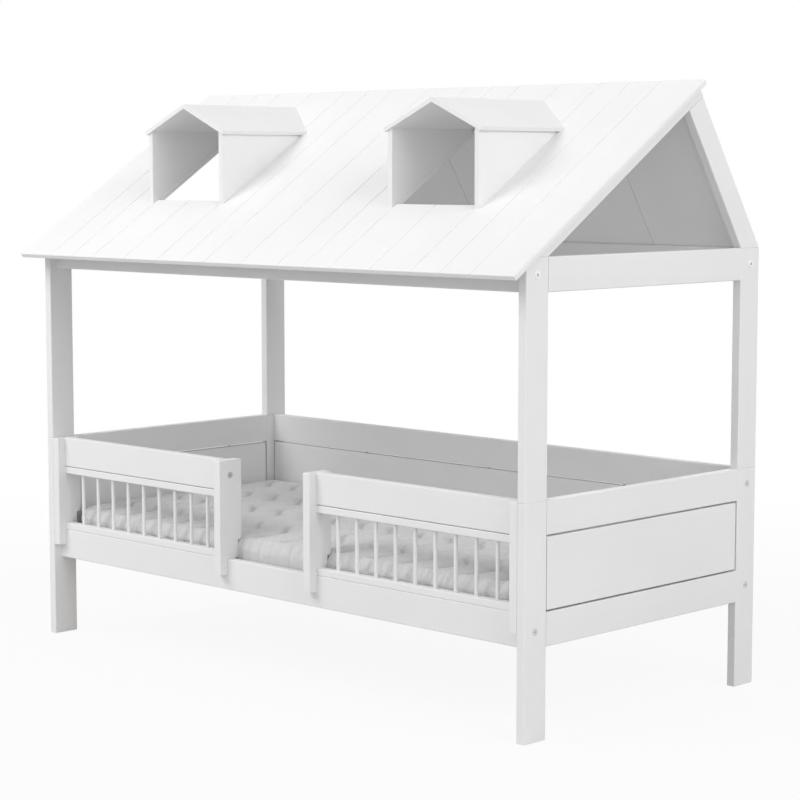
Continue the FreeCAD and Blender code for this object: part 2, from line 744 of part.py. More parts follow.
def make_mattress():
    """The mattress: rounded edges, a crown, drawn-in sides, and room for the uprights' noses."""
    clear = s.soft_clear.value
    half_x = s.mattress_long.value / 2
    half_y = s.mattress_wide.value / 2 - clear
    corner = s.mattress_corner.value
    draw = s.mattress_draw.value
    deep = s.mattress_deep.value
    crown = s.mattress_crown.value
    wires = []
    for deep_share, crown_share, inset in MATTRESS_LEVELS:
        level_corner = max(corner - inset, s.mattress_least_corner.value)
        height = deep * deep_share + crown * crown_share
        wires.append(mattress_level(half_x - inset, half_y - inset, level_corner, draw, height))
    solid = Part.makeLoft(wires, True, True)

    low_z = (s.floor_clear + s.ledger_high + s.slat_thick).value + clear
    middle_y = s.side_gap.value / 2                     # the mattress lies against the back rail
    nose_z = (rail_top + s.nose_rise).value - clear - low_z
    nose_back = -post_in_y.value + clear - middle_y
    for side in SIDES.values():
        near, far = s.entry_gap.value / 2 - clear, guard_in_x.value + clear
        low_x = near if side > 0 else -far
        # from well in front of the mattress to just behind the nose, and up past the crown
        corner_point = Vector(low_x, nose_back - corner, nose_z)
        nose = Part.makeBox(far - near, corner, deep, corner_point)
        solid = solid.cut(nose)

    mattress = doc.addObject("Part::Feature", "mattress")
    mattress.Shape = solid
    mattress.Placement = FreeCAD.Placement(
        Vector(0, middle_y + middle_shift.value, low_z), FreeCAD.Rotation()
    )
    node(mattress, "mattress")


# ---------------------------------------------------------------- roof frame and boards


def roof_profile(label, corners, x, long):
    """A piece drawn in the roof's frame, s across and n up, and padded along X."""
    body = prism(label, "YZ_Plane", corners, long)
    place(body, x, -foot_y, post_top, X_AXIS, s.front_pitch)
    return body


def make_rafters(side_name, side):
    """The front and back rafter at one end. Their feet are cut level on the posts."""
    x = low_end(side, in_x, out_x)
    foot_long = foot_y - post_in_y
    front = [
        (0, 0),
        (foot_long * cos_p, -rafter_deep),
        (ridge_s, -rafter_deep),
        (ridge_s, 0),
    ]
    label = f"rafter_front_{side_name}"
    rafter = roof_profile(label, front, x, s.board_thick)

    def is_eased(edge):
        return runs_up_slope_at(edge, -rafter_deep) or runs_up_slope_at(edge, Size.of(0))

    ease(rafter, "Fillet", s.edge_round, is_eased)
    node(rafter, label)

    inner_foot = foot_y + post_in_y
    back = [
        (ridge_s - back_rafter_deep, -rafter_deep),
        (inner_foot * cos_p, -inner_foot * sin_p),
        (ridge_s, -(foot_y + out_y) * sin_p),
        (ridge_s, -rafter_deep),
    ]
    label = f"rafter_back_{side_name}"
    rafter = roof_profile(label, back, x, s.board_thick)
    ease(rafter, "Fillet", s.edge_round, lambda edge: runs_along(edge, Z_AXIS))
    node(rafter, label)


def runs_up_slope_at(edge, height):
    """Whether an edge runs up the slope at a given n."""
    return runs_along(edge, Y_AXIS) and abs(edge.BoundBox.ZMin - height.value) < SAME_PLACE


def roof_board(x_low, wide, s_low, long):
    """A board on the front slope, with half a groove along each upper edge."""
    shoulder = s.roof_thick - s.vee_deep
    section = [
        (0, 0),
        (wide, 0),
        (wide, shoulder),
        (wide - s.vee, s.roof_thick),
        (s.vee, s.roof_thick),
        (0, shoulder),
    ]
    body = prism("RoofBoard", "XZ_Plane", section, long)

    def is_lower_end(edge):
        return runs_along(edge, X_AXIS) and edge.BoundBox.YMax < SAME_PLACE

    ease(body, "Fillet", s.roof_end_round, is_lower_end)
    y, z = roof_point(s_low, Size.of(0))
    place(body, x_low, y, z, X_AXIS, s.front_pitch)
    return body


def make_front_slope():
    """The front slope's boards, from the middle to each end, with an opening at each dormer."""
    whole = [(-s.eave_over, ridge_s + s.ridge_past)]
    split = [(-s.eave_over, sill_s), (sill_s + s.hole_long, ridge_s + s.ridge_past)]
    middle = []
    for side_name, side in SIDES.items():
        at_dormer, outer = [], []
        for near, far in zip(front_joints, front_joints[1:]):
            if dormer_x in (near, far):
                boards, runs = at_dormer, split
            else:
                boards, runs = middle if far.value < dormer_x.value else outer, whole
            low_x = low_end(side, near, far)
            for start, stop in runs:
                boards.append(roof_board(low_x, far - near, start, stop - start))
        group(f"roof_boards_dormer_{side_name}", at_dormer)
        group(f"roof_boards_outer_{side_name}", outer)
    group("roof_boards_middle", middle)


def make_back_slope():
    """The back slope's boards. They stand on the back beam, between the back rafters."""
    far_s = back_board_s + s.roof_thick
    profile = [
        (back_board_s, 0),
        (far_s, 0),
        (far_s, -far_s * tan_p),
        (back_board_s, -back_board_s * tan_p),
    ]

    groove_s = back_board_s + s.vee_deep
    boards = []
    for side in SIDES.values():
        for near, far in ((Size.of(0), dormer_board_end), (dormer_board_end, in_x)):
            wide = far - near
            body = roof_profile("BackBoard", profile, low_end(side, near, far), wide)
            grooves = sketch_on(body, "XY_Plane")
            outline(grooves, [(0, back_board_s), (s.vee, back_board_s), (0, groove_s)])
            outline(grooves, [(wide, back_board_s), (wide, groove_s), (wide - s.vee, back_board_s)])
            cut_through(body, grooves)
            boards.append(body)
    group("roof_boards_back", boards)

    batten = [
        (batten_s, 0),
        (back_board_s, 0),
        (back_board_s, -s.board_thick),
        (batten_s, -s.board_thick),
    ]
    node(roof_profile("ridge_batten", batten, -in_x, 2 * in_x), "ridge_batten")


# ---------------------------------------------------------------- dormers


def dormer_piece(label, section, centre_x, front_y):
    """A dormer's piece: padded back from its front, then cut off where it meets the roof boards."""
    front_z, rise = dormer_front(front_y)
    deep = rise / tan_p * PAST
    body = prism(label, "XZ_Plane", section, deep)
    wedge = sketch_on(body, "YZ_Plane")
    far = deep * PAST
    outline(wedge, [(0, 0), (far, 0), (far, far * tan_p)])
    cut_through(body, wedge)
    place(body, centre_x, -front_y, front_z)
    return node(body, label)


def dormer_front(front_y):
    """Height of the roof boards' top where a dormer's piece starts, and the ridge's rise over it."""
    front_z = post_top + s.roof_thick / cos_p + (foot_y - front_y) * tan_p
    return front_z, post_top + s.dormer_rise - front_z


def make_dormer(side_name, side):
    """One dormer: two cheeks and two roof boards that meet at the ridge."""
    outer = s.dormer_wide / 2
    inner = outer - s.cheek_thick
    eave = outer + s.dormer_side_over
    roof_front = dormer_front_y + s.dormer_front_over
    for hand_name, hand in SIDES.items():
        _, rise = dormer_front(dormer_front_y)

        def under_roof(x):
            return rise - s.dormer_thick / cos_q - x * tan_q

        cheek = [
            (hand * inner, 0),
            (hand * outer, 0),
            (hand * outer, under_roof(outer)),
            (hand * inner, under_roof(inner)),
        ]
        label = f"dormer_{side_name}_cheek_{hand_name}"
        dormer_piece(label, cheek, side * dormer_x, dormer_front_y)

        _, rise = dormer_front(roof_front)
        roof = [
            (0, rise),
            (hand * eave, rise - eave * tan_q),
            (hand * (eave - s.dormer_thick * sin_q), rise - eave * tan_q - s.dormer_thick * cos_q),
            (0, rise - s.dormer_thick / cos_q),
        ]
        label = f"dormer_{side_name}_roof_{hand_name}"
        dormer_piece(label, roof, side * dormer_x, roof_front)


# ---------------------------------------------------------------- the whole bed

make_dowels()
make_bolts()
for side_name, side in SIDES.items():
    make_posts(side_name, side)
    make_end(side_name, side)
    make_guard(side_name, side)
    make_rafters(side_name, side)
    make_dormer(side_name, side)
make_long_sides()
make_base()
make_mattress()
make_front_slope()
make_back_slope()
doc.recompute()

nodes = [drill(thing) if thing.TypeId == "PartDesign::Body" else thing for thing in nodes]
group("dowels", dowels)
group("bolts", bolts)
group("barrel_nuts", barrel_nuts)
group("bolt_collars", collars)
doc.recompute()

for thing in doc.Objects:
    if "Invalid" in thing.State or "Error" in thing.State:
        raise RuntimeError(f"{thing.Label} was not made: {thing.State}")

os.makedirs("parts", exist_ok=True)
for thing in nodes:
    shape = thing.Shape
    if shape.isNull() or not shape.isValid() or not shape.Solids:
        raise RuntimeError(f"{thing.Label} is not a good solid")
    shape.exportStep(os.path.join("parts", f"{thing.Label}.step"))
print(len(nodes), "sub-parts")
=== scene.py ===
import math

import bmesh
import bpy
import numpy as np
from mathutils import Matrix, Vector


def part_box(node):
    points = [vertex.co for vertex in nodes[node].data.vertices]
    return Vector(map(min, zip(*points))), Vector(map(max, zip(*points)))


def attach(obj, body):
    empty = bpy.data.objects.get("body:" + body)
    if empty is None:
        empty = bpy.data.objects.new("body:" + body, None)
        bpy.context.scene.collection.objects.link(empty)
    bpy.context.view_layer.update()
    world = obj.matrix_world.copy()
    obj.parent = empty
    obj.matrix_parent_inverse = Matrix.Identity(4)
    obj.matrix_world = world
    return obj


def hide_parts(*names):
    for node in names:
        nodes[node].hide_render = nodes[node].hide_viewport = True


# The looks of a child's house frame bed: white lacquered timber, a quilted mattress, plated bolts.
# Everything is in metres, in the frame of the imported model: +X runs along the bed, the front faces
# -Y, and the floor is at 0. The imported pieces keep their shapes. They get materials here, and the
# mattress is replaced by one with a stuffed and stitched cover.

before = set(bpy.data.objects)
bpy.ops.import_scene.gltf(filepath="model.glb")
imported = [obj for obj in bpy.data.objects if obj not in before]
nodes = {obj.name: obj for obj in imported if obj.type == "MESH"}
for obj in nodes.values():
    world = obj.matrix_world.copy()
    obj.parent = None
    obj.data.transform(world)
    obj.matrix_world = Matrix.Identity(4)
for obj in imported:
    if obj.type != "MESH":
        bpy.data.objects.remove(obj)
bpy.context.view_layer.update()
scene = bpy.context.scene

FRONT_PITCH = math.radians(33.1)        # the front slope, and the back slope square to it

# ---------------------------------------------------------------- ways of wiring a material


def wired(tree, kind, values=None, **settings):
    """A shader node with its settings, and with values or links for its inputs."""
    made = tree.nodes.new(kind)
    for name, setting in settings.items():
        setattr(made, name, setting)
    for name, value in (values or {}).items():
        socket = made.inputs[name]
        if isinstance(value, bpy.types.NodeSocket):
            tree.links.new(value, socket)
        else:
            socket.default_value = value
    return made


def reckon(tree, operation, *values, clamp=False):
    """The output of a Math node."""
    return wired(
        tree, "ShaderNodeMath", dict(enumerate(values)), operation=operation, use_clamp=clamp
    ).outputs[0]


def spread(tree, value, low, high, to_low, to_high):
    """A value moved smoothly from one range to another, and held at its ends."""
    ends = {"From Min": low, "From Max": high, "To Min": to_low, "To Max": to_high}
    return wired(
        tree, "ShaderNodeMapRange", {"Value": value, **ends}, interpolation_type="SMOOTHSTEP"
    ).outputs["Result"]


def blended(tree, share, first, second):
    """Two colours mixed by a share."""
    mix = tree.nodes.new("ShaderNodeMix")
    mix.data_type = "RGBA"
    sockets = {socket.identifier: socket for socket in mix.inputs}
    for name, value in (("Factor_Float", share), ("A_Color", first), ("B_Color", second)):
        if isinstance(value, bpy.types.NodeSocket):
            tree.links.new(value, sockets[name])
        else:
            sockets[name].default_value = value
    return next(socket for socket in mix.outputs if socket.identifier == "Result_Color")


def noise(tree, position, scale, detail=2.0, roughness=0.5, distortion=0.0):
    """A noise value at a position, with its scale in features per metre."""
    values = {
        "Vector": position,
        "Scale": scale,
        "Detail": detail,
        "Roughness": roughness,
        "Distortion": distortion,
    }
    return wired(tree, "ShaderNodeTexNoise", values).outputs["Fac"]


def stretched(tree, position, scale):
    """A position stretched along its axes."""
    return wired(tree, "ShaderNodeMapping", {"Vector": position, "Scale": scale}).outputs["Vector"]


def new_group(name, inputs, outputs):
    """A node group with named sockets: its tree, its input values and its output sockets."""
    group = bpy.data.node_groups.new(name, "ShaderNodeTree")
    for label, (kind, value) in inputs.items():
        socket = group.interface.new_socket(label, in_out="INPUT", socket_type=kind)
        if value is not None:
            socket.default_value = value
    for label, kind in outputs.items():
        group.interface.new_socket(label, in_out="OUTPUT", socket_type=kind)
    given = group.nodes.new("NodeGroupInput").outputs
    wanted = group.nodes.new("NodeGroupOutput").inputs
    return group, given, wanted


def use_group(tree, group, values):
    """Place a group in a material with its own values, and give back its outputs."""
    made = tree.nodes.new("ShaderNodeGroup")
    made.node_tree = group
    for name, value in values.items():
        if isinstance(value, bpy.types.NodeSocket):
            tree.links.new(value, made.inputs[name])
        else:
            made.inputs[name].default_value = value
    return made.outputs


# ---------------------------------------------------------------- effects that materials share

FLOAT, VECTOR = "NodeSocketFloat", "NodeSocketVector"


def make_timber_grain():
    """Growth rings and fibres of a board whose grain runs along the position's X."""
    group, given, wanted = new_group(
        "timber_grain",
        {
            "Position": (VECTOR, None),
            "Rings per metre": (FLOAT, 60.0),
            "Waviness": (FLOAT, 0.4),
        },
        {"Rings": FLOAT, "Fibres": FLOAT},
    )
    drawn_out = stretched(group, given["Position"], (0.06, 1.0, 1.0))
    swing = reckon(group, "MULTIPLY", noise(group, drawn_out, 9.0, detail=3.0), 14.0)
    rings = wired(
        group,
        "ShaderNodeTexWave",
        {
            "Vector": stretched(group, given["Position"], (0.035, 1.0, 0.7)),
            "Scale": reckon(group, "DIVIDE", given["Rings per metre"], 20.0),
            "Distortion": reckon(group, "MULTIPLY", given["Waviness"], swing),
            "Detail": 2.0,
            "Detail Scale": 1.4,
        },
        wave_type="BANDS",
        bands_direction="DIAGONAL",
        wave_profile="SAW",
    ).outputs["Fac"]
    fibres = noise(group, stretched(group, given["Position"], (0.03, 1.0, 1.0)), 900.0, detail=3.0)
    group.links.new(rings, wanted["Rings"])
    group.links.new(fibres, wanted["Fibres"])
    return group


def make_sprayed_film():
    """A sprayed film's low dimples, and the slow drift of its tone and gloss."""
    group, given, wanted = new_group(
        "sprayed_film",
        {"Position": (VECTOR, None), "Dimples per metre": (FLOAT, 320.0)},
        {"Dimples": FLOAT, "Drift": FLOAT},
    )
    position = given["Position"]
    fine = noise(group, position, given["Dimples per metre"], detail=1.0)
    broad = noise(group, position, reckon(group, "DIVIDE", given["Dimples per metre"], 3.0), detail=2.0)
    dimples = reckon(group, "MULTIPLY_ADD", fine, 0.65, reckon(group, "MULTIPLY", broad, 0.35))
    group.links.new(dimples, wanted["Dimples"])
    group.links.new(noise(group, position, 3.2, detail=4.0, roughness=0.6), wanted["Drift"])
    return group


def make_scuffs():
    """Fine, short scuffs in all directions, as handling leaves them."""
    group, given, wanted = new_group(
        "scuffs",
        {"Position": (VECTOR, None), "Scuffs per metre": (FLOAT, 40.0)},
        {"Scuffs": FLOAT},
    )
    lines = []
    for turn in (0.4, 1.7, 2.6):
        turned = wired(
            group,
            "ShaderNodeMapping",
            {"Vector": given["Position"], "Rotation": (turn, turn * 0.7, turn), "Scale": (1.0, 9.0, 9.0)},
        ).outputs["Vector"]
        streaks = noise(group, turned, given["Scuffs per metre"], detail=3.0, roughness=0.7)
        lines.append(spread(group, streaks, 0.66, 0.74, 0.0, 1.0))
    both = reckon(group, "MAXIMUM", lines[0], lines[1])
    group.links.new(reckon(group, "MAXIMUM", both, lines[2]), wanted["Scuffs"])
    return group


TIMBER_GRAIN = make_timber_grain()
SPRAYED_FILM = make_sprayed_film()
SCUFFS = make_scuffs()

# How a board is turned so that its grain lies along X.
GRAIN_TURNS = {
    "along": (0.0, 0.0, 0.0),
    "across": (0.0, 0.0, -math.pi / 2),
    "upright": (0.0, math.pi / 2, 0.0),
    "front_slope": (-FRONT_PITCH, 0.0, -math.pi / 2),
    "back_slope": (-FRONT_PITCH - math.pi / 2, 0.0, -math.pi / 2),
}


def new_material(name):
    """An empty material with its Principled shader, and the position on the piece in metres."""
    material = bpy.data.materials.new(name)
    material.use_nodes = True
    tree = material.node_tree
    shader = tree.nodes["Principled BSDF"]
    position = tree.nodes.new("ShaderNodeTexCoord").outputs["Object"]
    return material, tree, shader, position


def raised(tree, height, distance, strength=1.0):
    """A normal from a height."""
    values = {"Height": height, "Distance": distance, "Strength": strength}
    return wired(tree, "ShaderNodeBump", values).outputs["Normal"]


# ---------------------------------------------------------------- the bed's own finishes


def white_lacquer(direction, grain_relief):
    """White satin lacquer over timber, whose grain just shows through the film."""
    material, tree, shader, position = new_material(f"white_lacquer_{direction}")
    turned = wired(
        tree, "ShaderNodeMapping", {"Vector": position, "Rotation": GRAIN_TURNS[direction]}
    ).outputs["Vector"]
    grain = use_group(
        tree, TIMBER_GRAIN, {"Position": turned, "Rings per metre": 75.0, "Waviness": 0.35}
    )
    film = use_group(tree, SPRAYED_FILM, {"Position": position, "Dimples per metre": 420.0})
    scuffs = use_group(tree, SCUFFS, {"Position": position, "Scuffs per metre": 22.0})

    clean, warm = (0.785, 0.785, 0.785, 1), (0.765, 0.765, 0.763, 1)
    tone = blended(tree, spread(tree, film["Drift"], 0.3, 0.7, 0.0, 1.0), clean, warm)
    ringed = reckon(tree, "MULTIPLY", grain["Rings"], 0.16)
    tree.links.new(blended(tree, ringed, tone, (0.73, 0.73, 0.728, 1)), shader.inputs["Base Color"])

    gloss = spread(tree, film["Drift"], 0.25, 0.75, 0.46, 0.56)
    rubbed = reckon(tree, "MULTIPLY_ADD", scuffs["Scuffs"], 0.07, gloss)
    tree.links.new(rubbed, shader.inputs["Roughness"])

    relief = reckon(tree, "MULTIPLY_ADD", grain["Fibres"], 0.35, grain["Rings"])
    height = reckon(tree, "MULTIPLY_ADD", relief, grain_relief, film["Dimples"])
    tree.links.new(raised(tree, height, 0.00012), shader.inputs["Normal"])
    shader.inputs["Specular IOR Level"].default_value = 0.25
    return material


def planed_timber(name, direction, pale, deep, rings, gloss):
    """Bare timber with its rings, fibres and a few small knots."""
    material, tree, shader, position = new_material(name)
    turned = wired(
        tree, "ShaderNodeMapping", {"Vector": position, "Rotation": GRAIN_TURNS[direction]}
    ).outputs["Vector"]
    grain = use_group(
        tree, TIMBER_GRAIN, {"Position": turned, "Rings per metre": rings, "Waviness": 0.9}
    )
    knot_field = wired(
        tree,
        "ShaderNodeTexVoronoi",
        {"Vector": stretched(tree, turned, (0.45, 1.0, 1.0)), "Scale": 5.5, "Randomness": 1.0},
    ).outputs["Distance"]
    knots = spread(tree, knot_field, 0.03, 0.075, 1.0, 0.0)
    fibres = spread(tree, grain["Fibres"], 0.35, 0.7, 0.0, 0.35)
    shade = reckon(tree, "MULTIPLY_ADD", grain["Rings"], 0.55, fibres, clamp=True)
    body = blended(tree, shade, pale, deep)
    knot_colour = tuple(0.42 * value for value in deep[:3]) + (1,)
    tree.links.new(blended(tree, knots, body, knot_colour), shader.inputs["Base Color"])
    tree.links.new(spread(tree, shade, 0.0, 1.0, gloss, gloss + 0.16), shader.inputs["Roughness"])
    height = reckon(tree, "MULTIPLY_ADD", grain["Rings"], -0.5, grain["Fibres"])
    tree.links.new(raised(tree, height, 0.0004), shader.inputs["Normal"])
    return material


def plated_steel(name, colour, low_gloss, high_gloss):
    """Zinc plated steel with a dull bloom and fine scuffs."""
    material, tree, shader, position = new_material(name)
    film = use_group(tree, SPRAYED_FILM, {"Position": position, "Dimples per metre": 1500.0})
    scuffs = use_group(tree, SCUFFS, {"Position": position, "Scuffs per metre": 260.0})
    bloom = spread(tree, film["Dimples"], 0.35, 0.65, 0.0, 1.0)
    dull = tuple(0.82 * value for value in colour[:3]) + (1,)
    bright = tuple(min(1.0, 1.15 * value) for value in colour[:3]) + (1,)
    toned = blended(tree, bloom, colour, dull)
    tree.links.new(blended(tree, scuffs["Scuffs"], toned, bright), shader.inputs["Base Color"])
    tree.links.new(spread(tree, bloom, 0.0, 1.0, low_gloss, high_gloss), shader.inputs["Roughness"])
    tree.links.new(raised(tree, film["Dimples"], 0.00005), shader.inputs["Normal"])
    shader.inputs["Metallic"].default_value = 1.0
    return material


def moulded_cap():
    """The smooth white plastic of the eave bolts' collars."""
    material, tree, shader, position = new_material("white_cap")
    film = use_group(tree, SPRAYED_FILM, {"Position": position, "Dimples per metre": 1800.0})
    drift = spread(tree, film["Drift"], 0.3, 0.7, 0.0, 1.0)
    tone = blended(tree, drift, (0.92, 0.92, 0.92, 1), (0.88, 0.88, 0.875, 1))
    tree.links.new(tone, shader.inputs["Base Color"])
    tree.links.new(spread(tree, film["Dimples"], 0.3, 0.7, 0.2, 0.32), shader.inputs["Roughness"])
    tree.links.new(raised(tree, film["Dimples"], 0.00004), shader.inputs["Normal"])
    return material


def quilted_cover():
    """The mattress's knitted cover: fine ribs, a soft nap, and painted shade that darkens the seams and
    the border's puckers.
    """
    material, tree, shader, position = new_material("mattress_cover")
    ribs = []
    for axis in ("X", "Y"):
        ribs.append(
            wired(
                tree,
                "ShaderNodeTexWave",
                {"Vector": position, "Scale": 95.0, "Distortion": 1.2, "Detail": 1.0},
                wave_type="BANDS",
                bands_direction=axis,
                wave_profile="SIN",
            ).outputs["Fac"]
        )
    knit = reckon(tree, "MULTIPLY", ribs[0], ribs[1])
    fuzz = noise(tree, position, 1400.0, detail=2.0)
    creases = noise(tree, stretched(tree, position, (1.0, 2.2, 1.0)), 26.0, detail=4.0, distortion=1.1)
    tucks = spread(tree, creases, 0.42, 0.52, 0.0, 1.0)

    # painted shade: the seam and pucker depth from the stitching attribute darkens the cover towards a
    # shaded grey, where shade falls in the seams
    seam_shade_share = wired(tree, "ShaderNodeAttribute", attribute_name="stitching").outputs["Fac"]
    pale, painted_shade = (0.61, 0.61, 0.61, 1), (0.38, 0.38, 0.385, 1)
    woven = blended(tree, reckon(tree, "MULTIPLY", knit, 0.10), pale, (0.53, 0.53, 0.53, 1))
    sewn = reckon(tree, "MULTIPLY", seam_shade_share, 0.55)
    tree.links.new(blended(tree, sewn, woven, painted_shade), shader.inputs["Base Color"])
    tree.links.new(spread(tree, fuzz, 0.3, 0.7, 0.78, 0.92), shader.inputs["Roughness"])

    weave = reckon(tree, "MULTIPLY_ADD", fuzz, 0.5, knit)
    fine = raised(tree, weave, 0.0004, 0.6)
    coarse = wired(
        tree,
        "ShaderNodeBump",
        {"Height": tucks, "Distance": 0.0016, "Strength": 0.5, "Normal": fine},
    ).outputs["Normal"]
    tree.links.new(coarse, shader.inputs["Normal"])
    shader.inputs["Sheen Weight"].default_value = 0.25
    shader.inputs["Sheen Roughness"].default_value = 0.5
    return material


def finish_timber():
    """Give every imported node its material."""
    lacquers = {name: white_lacquer(name, 0.5) for name in GRAIN_TURNS}
    directions = {
        "along": ("side_rail", "eave_beam", "back_centre", "back_top", "guard_top", "guard_sub",
                  "guard_bottom", "ridge_batten", "slat_ledgers"),
        "across": ("end_", "gable_rail", "dormer_"),
        "upright": ("post", "upright", "guard_spindles"),
        "front_slope": ("rafter_front", "roof_boards_dormer", "roof_boards_middle", "roof_boards_outer"),
        "back_slope": ("rafter_back", "roof_boards_back"),
    }
    others = {
        "slats": planed_timber(
            "slat_pine", "across", (0.76, 0.60, 0.40, 1), (0.56, 0.37, 0.19, 1), 110.0, 0.52
        ),
        "dowels": planed_timber(
            "dowel_beech", "across", (0.78, 0.72, 0.63, 1), (0.70, 0.62, 0.51, 1), 260.0, 0.45
        ),
        "bolts": plated_steel("bolt_steel", (0.66, 0.66, 0.67, 1), 0.38, 0.5),
        "barrel_nuts": plated_steel("barrel_nut_steel", (0.52, 0.52, 0.53, 1), 0.36, 0.52),
        "bolt_collars": moulded_cap(),
    }
    for name, piece in nodes.items():
        material = others.get(name)
        if material is None:
            for direction, words in directions.items():
                if any(word in name for word in words):
                    material = lacquers[direction]
        if material is not None:
            piece.data.materials.clear()
            piece.data.materials.append(material)


# ---------------------------------------------------------------- the mattress

VOXEL = 0.008               # size of the faces while the cover is being stuffed
STUFFING_STEPS = 16
SWELL = 0.004               # the most that stuffing moves the cover
PINNED_WITHIN = 0.6         # of a voxel from a seam, the cover doesn't swell
CORNER = 0.080              # radius of the mattress's corners, seen from above

# the top's quilting
WAVE_PITCH = 0.125          # between two wavy seams, which run across the top
WAVE_REACH = 0.036          # how far a seam swings to each side
WAVE_LENGTH = 0.205
SEAM_WIDE = 0.0065
PUFF = 0.0125               # rise of the quilting between two seams
PUFF_RUN = 0.014            # how far from a seam most of that rise lies
PUFF_OVER = 0.3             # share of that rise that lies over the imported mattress's top
TUCK_PITCH = 0.021          # between the small tucks along a seam
TUCK_RUN = 0.016            # how far from a seam its tucks reach
TUCK_DEEP = 0.0009
CREASE_SIZE = 0.085
CREASE_DEEP = 0.0016

# the edge and the border
EDGE_SEAM = 0.020           # from the outline in to the flatter edge of the top
EDGE_FADE = 0.004           # over which the top's quilting gives way to the border's
EDGE_WIDE = 0.008
EDGE_FLAT = 0.5             # share of the relief that the edge takes away
BORDER_FILL = 0.005         # how far the filling pushes the border out
PUCKER_PITCH = 0.042        # between the puckers round the border
PUCKER_WIDE = 0.0036
PUCKER_DEEP = 0.0026
PUCKER_DRAW = 0.0022        # how far a pucker draws in the border beside it
PUCKER_RUN = 0.012
PUCKER_FROM, PUCKER_FULL = 0.02, 0.10   # heights over the underside where puckers start and are deep
BORDER_LUMPS = 0.0007
LUMPS = 0.0012              # slow unevenness of the filling

# the space that it lies in
END_SLACK = 0.003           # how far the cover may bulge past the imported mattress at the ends
FRONT_SLACK = 0.006         # and at the front
NOTCH = 0.072               # from an upright's outer face back to the mattress's side
NOSE_LOW = 0.400            # underside of the uprights' noses
TOUCH = 0.0004              # least gap between the cover and a nose


def mattress_net():
    """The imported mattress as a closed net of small, even faces."""
    cad = nodes["mattress"]
    blank = bpy.data.objects.new("mattress_blank", cad.data.copy())
    scene.collection.objects.link(blank)
    even = blank.modifiers.new("Even", "REMESH")
    even.mode = "VOXEL"
    even.voxel_size = VOXEL
    bpy.context.view_layer.update()
    seen = blank.evaluated_get(bpy.context.evaluated_depsgraph_get())
    net = bpy.data.meshes.new_from_object(seen)
    bpy.data.objects.remove(blank)
    net.name = "mattress_cover"
    return net


def corners_of(mesh):
    """A mesh's vertices as an array."""
    points = np.empty(len(mesh.vertices) * 3)
    mesh.vertices.foreach_get("co", points)
    return points.reshape(-1, 3)


def normals_of(mesh):
    """The normals of a mesh's vertices as an array."""
    normals = np.empty(len(mesh.vertices) * 3)
    mesh.vertex_normals.foreach_get("vector", normals)
    return normals.reshape(-1, 3)


def put_corners(mesh, points):
    """Move a mesh's vertices."""
    mesh.vertices.foreach_set("co", points.astype(np.float32).ravel())
    mesh.update()


def smooth_step(values, low, high):
    """0 under low, 1 over high, and a smooth rise between."""
    share = np.clip((values - low) / (high - low), 0.0, 1.0)
    return share * share * (3.0 - 2.0 * share)


def ripple(points, size, seed):
    """Smooth, uneven waves between -1 and 1, of about one size, that are the same on every run."""
    draw = np.random.default_rng(seed)
    total = np.zeros(len(points))
    for _ in range(8):
        heading = draw.normal(size=3)
        heading /= np.linalg.norm(heading)
        length = size * draw.uniform(0.7, 1.5)
        total += np.sin(points @ heading * (2 * math.pi / length) + draw.uniform(0, 2 * math.pi))
    return np.clip(total / 4.0, -1.0, 1.0)


